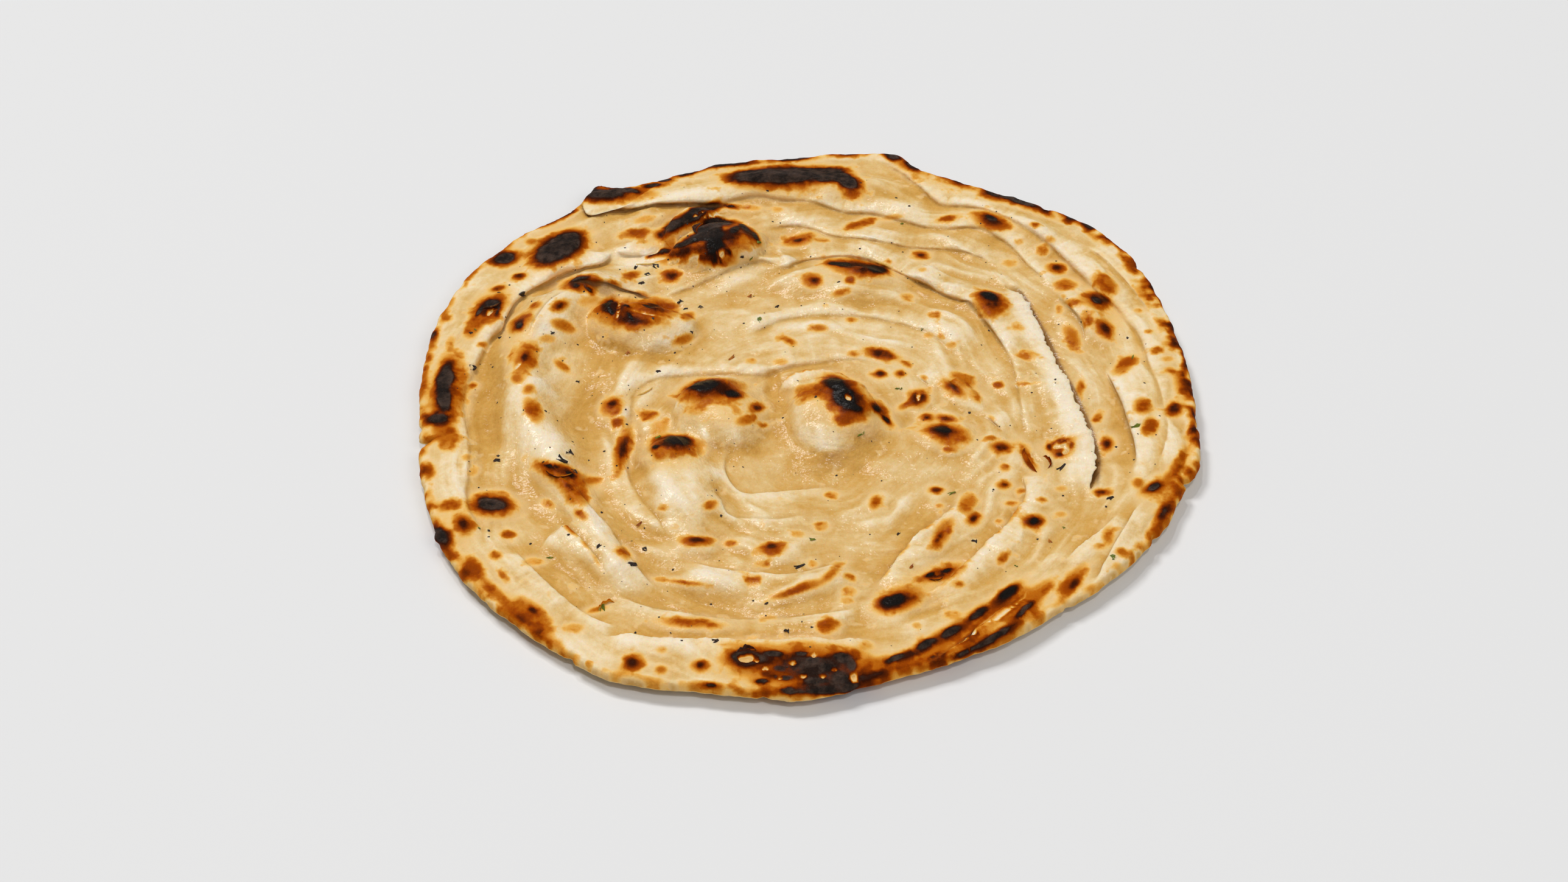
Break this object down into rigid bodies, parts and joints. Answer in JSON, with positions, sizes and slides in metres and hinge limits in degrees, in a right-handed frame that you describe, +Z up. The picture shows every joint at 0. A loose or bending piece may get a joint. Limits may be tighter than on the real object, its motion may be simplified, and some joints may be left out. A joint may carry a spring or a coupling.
{
  "type": "paratha flatbread",
  "caption": "Round layered flatbread lying flat, with folded concentric sheets, raised blisters and a browned, scorched upper side.",
  "frame": {"origin": "centre of the bread's box, at the surface that it rests on", "axes": "+Z up through the bread's thickness, +Y towards its back edge as seen by the eater, +X to the right"},
  "size_m": [0.2366, 0.2396, 0.0144],
  "materials": {
    "baked_dough": "oiled wheat dough baked on hot iron: cream to golden with brown and black scorches, soft oily gloss in the middle and dry at the rim"
  },
  "bodies": {
    "root": {"paratha": "baked_dough"}
  },
  "joints": []
}
